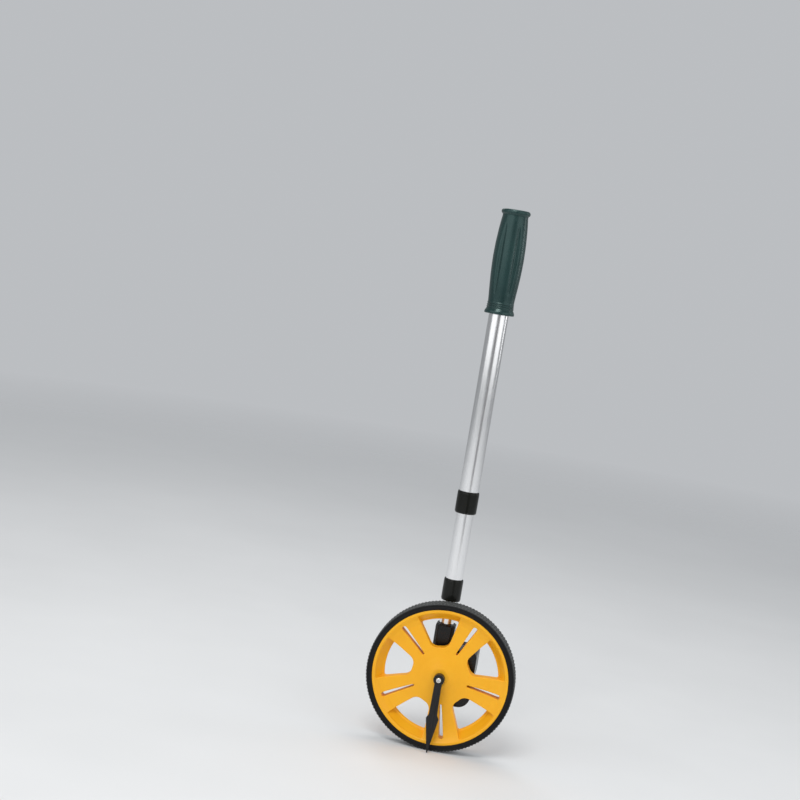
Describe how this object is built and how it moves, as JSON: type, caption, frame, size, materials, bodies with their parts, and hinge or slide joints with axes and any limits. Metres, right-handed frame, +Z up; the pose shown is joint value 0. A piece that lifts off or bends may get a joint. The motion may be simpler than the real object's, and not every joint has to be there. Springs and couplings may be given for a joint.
{
  "type": "measuring wheel",
  "caption": "Telescopic distance measuring wheel: spoked wheel geared to a drum counter, swinging pointer, twist-lock tube and fluted hand grip.",
  "frame": {"origin": "centre of the wheel, on the axle, midway across the hub", "axes": "+Z up along the telescopic shaft from the wheel to the grip; Y along the wheel's axle, the pointer's side faces -Y and the counter housing is on the +Y side; X points to the side on which the counter box stands out"},
  "size_m": [0.159, 0.0855, 0.5787],
  "materials": {
    "tyre_rubber": "matte black rubber, fine cross ribs",
    "yellow_plastic": "satin moulded plastic",
    "black_plastic": "semi-gloss moulded plastic",
    "pointer_plastic": "satin moulded plastic",
    "collar_plastic": "semi-gloss turned plastic",
    "grip_pvc": "soft moulded vinyl, satin",
    "anodised_tube": "satin clear anodised",
    "zinc_screw": "bright zinc plate",
    "black_screw": "black oxide",
    "axle_steel": "turned",
    "acetal_white": "natural acetal, satin",
    "drum_black": "matte with white figures",
    "drum_red": "matte with white figures",
    "mask_black": "matte",
    "clear_lens": "polished clear acrylic",
    "lock_plastic": "natural acetal",
    "core_plastic": "matte"
  },
  "bodies": {
    "frame": {"axle": "axle_steel", "front_washer": "zinc_screw", "rear_washer": "zinc_screw", "axle_nut": "zinc_screw", "pointer_screw": "zinc_screw", "gear_cover": "black_plastic", "cover_screws": "black_screw", "housing_body": "black_plastic", "rear_cover": "black_plastic", "rear_cover_screws": "zinc_screw", "digit_mask": "mask_black", "window_lens": "clear_lens", "idler_pin": "axle_steel", "pinion_shaft": "axle_steel", "bottom_tube": "anodised_tube", "tube_screw": "zinc_screw", "bottom_lock_core": "core_plastic"},
    "wheel": {"tyre": "tyre_rubber", "wheel_disc": "yellow_plastic", "hub_bush": "acetal_white", "hub_gear": "acetal_white"},
    "pointer": {"pointer": "pointer_plastic"},
    "idler": {"idler_gear": "acetal_white"},
    "unit_shaft": {"drum_shaft": "axle_steel", "counter_gear": "acetal_white", "drum_tenths": "drum_red"},
    "metres_drum": {"drum_metres": "drum_black"},
    "tens_drum": {"drum_tens": "drum_black"},
    "hundreds_drum": {"drum_hundreds": "drum_black"},
    "thousands_drum": {"drum_thousands": "drum_black"},
    "transfer_1": {"pinion_1": "acetal_white"},
    "transfer_2": {"pinion_2": "acetal_white"},
    "transfer_3": {"pinion_3": "acetal_white"},
    "transfer_4": {"pinion_4": "acetal_white"},
    "reset": {"reset_knob": "black_plastic", "knob_clip": "axle_steel"},
    "bottom_lock": {"bottom_lock_ring": "lock_plastic"},
    "middle_section": {"middle_tube": "anodised_tube", "bottom_collar": "collar_plastic", "middle_lock_core": "core_plastic"},
    "middle_lock": {"middle_lock_ring": "lock_plastic"},
    "top_section": {"top_tube": "anodised_tube", "top_collar": "collar_plastic", "tube_plug": "core_plastic", "grip": "grip_pvc"}
  },
  "joints": [
    {"name": "wheel_spin", "type": "hinge", "parent": "frame", "child": "wheel", "pos_m": [0, 0, 0], "axis": [0, 1, 0], "continuous": true},
    {"name": "pointer_swing", "type": "hinge", "parent": "frame", "child": "pointer", "pos_m": [0, 0, 0], "axis": [0, 1, 0], "continuous": true},
    {"name": "idler_spin", "type": "hinge", "parent": "frame", "child": "idler", "pos_m": [0.01793, 0, -0.0016], "axis": [0, 1, 0], "continuous": true},
    {"name": "tenths_spin", "type": "hinge", "parent": "frame", "child": "unit_shaft", "pos_m": [0.018, 0, 0.014], "axis": [0, 1, 0], "continuous": true},
    {"name": "metres_spin", "type": "hinge", "parent": "frame", "child": "metres_drum", "pos_m": [0.018, 0, 0.014], "axis": [0, 1, 0], "continuous": true},
    {"name": "tens_spin", "type": "hinge", "parent": "frame", "child": "tens_drum", "pos_m": [0.018, 0, 0.014], "axis": [0, 1, 0], "continuous": true},
    {"name": "hundreds_spin", "type": "hinge", "parent": "frame", "child": "hundreds_drum", "pos_m": [0.018, 0, 0.014], "axis": [0, 1, 0], "continuous": true},
    {"name": "thousands_spin", "type": "hinge", "parent": "frame", "child": "thousands_drum", "pos_m": [0.018, 0, 0.014], "axis": [0, 1, 0], "continuous": true},
    {"name": "transfer_1_spin", "type": "hinge", "parent": "frame", "child": "transfer_1", "pos_m": [0.018, 0, 0.0028], "axis": [0, 1, 0], "continuous": true},
    {"name": "transfer_2_spin", "type": "hinge", "parent": "frame", "child": "transfer_2", "pos_m": [0.018, 0, 0.0028], "axis": [0, 1, 0], "continuous": true},
    {"name": "transfer_3_spin", "type": "hinge", "parent": "frame", "child": "transfer_3", "pos_m": [0.018, 0, 0.0028], "axis": [0, 1, 0], "continuous": true},
    {"name": "transfer_4_spin", "type": "hinge", "parent": "frame", "child": "transfer_4", "pos_m": [0.018, 0, 0.0028], "axis": [0, 1, 0], "continuous": true},
    {"name": "reset_turn", "type": "hinge", "parent": "frame", "child": "reset", "pos_m": [0.018, 0, 0.014], "axis": [0, 1, 0], "continuous": true},
    {"name": "bottom_lock_twist", "type": "hinge", "parent": "frame", "child": "bottom_lock", "pos_m": [-0.005, 0.024, 0.33], "axis": [0, 0, 1], "range_deg": [-90, 0]},
    {"name": "middle_slide", "type": "slide", "parent": "bottom_lock", "child": "middle_section", "axis": [0, 0, 1], "range_m": [-0.0255, 0.235]},
    {"name": "middle_lock_twist", "type": "hinge", "parent": "middle_section", "child": "middle_lock", "pos_m": [-0.005, 0.024, 0.4], "axis": [0, 0, 1], "range_deg": [-90, 0]},
    {"name": "top_slide", "type": "slide", "parent": "middle_lock", "child": "top_section", "axis": [0, 0, 1], "range_m": [-0.0715, 0.205]}
  ],
  "couplings": [
    {"joint": "idler_spin", "follows": "wheel_spin", "ratio": -0.8},
    {"joint": "tenths_spin", "follows": "wheel_spin", "ratio": 0.5},
    {"joint": "metres_spin", "follows": "wheel_spin", "ratio": 0.05},
    {"joint": "tens_spin", "follows": "wheel_spin", "ratio": 0.005},
    {"joint": "hundreds_spin", "follows": "wheel_spin", "ratio": 0.0005},
    {"joint": "thousands_spin", "follows": "wheel_spin", "ratio": 0.00005},
    {"joint": "transfer_1_spin", "follows": "wheel_spin", "ratio": -0.125},
    {"joint": "transfer_2_spin", "follows": "wheel_spin", "ratio": -0.0125},
    {"joint": "transfer_3_spin", "follows": "wheel_spin", "ratio": -0.00125},
    {"joint": "transfer_4_spin", "follows": "wheel_spin", "ratio": -0.000125}
  ]
}
